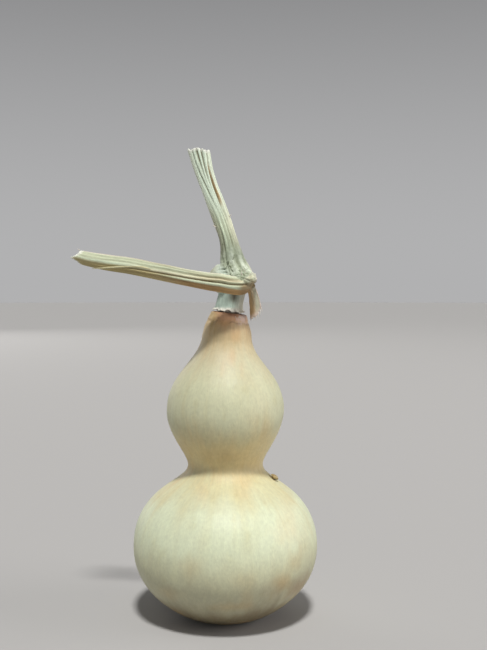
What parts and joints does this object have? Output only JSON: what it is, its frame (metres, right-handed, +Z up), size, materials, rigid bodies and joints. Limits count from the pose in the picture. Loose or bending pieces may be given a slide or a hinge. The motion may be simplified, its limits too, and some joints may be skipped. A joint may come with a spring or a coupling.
{
  "type": "dried bottle gourd",
  "caption": "Small dried two-lobed bottle gourd standing on its blossom end, with its short stalk and the torn, folded piece of dry vine it grew on.",
  "frame": {"origin": "centre of the small flat foot at the gourd's blossom end, on the gourd's axis", "axes": "+Z up the gourd's axis towards its stalk; -Y towards the viewer of the picture; the vine's level arm points along -X"},
  "size_m": [0.0793, 0.0604, 0.1539],
  "materials": {
    "gourd_skin": "smooth dry satin skin, cream with faint streaks along the fruit, tan at the waist and neck",
    "pale_stalk": "matt pale grey-green dried stalk",
    "dry_vine": "matt straw-coloured fibrous dry vine with dark grooves"
  },
  "bodies": {
    "root": {"gourd": "gourd_skin", "fruit_stalk": "pale_stalk", "vine": "dry_vine"}
  },
  "joints": []
}
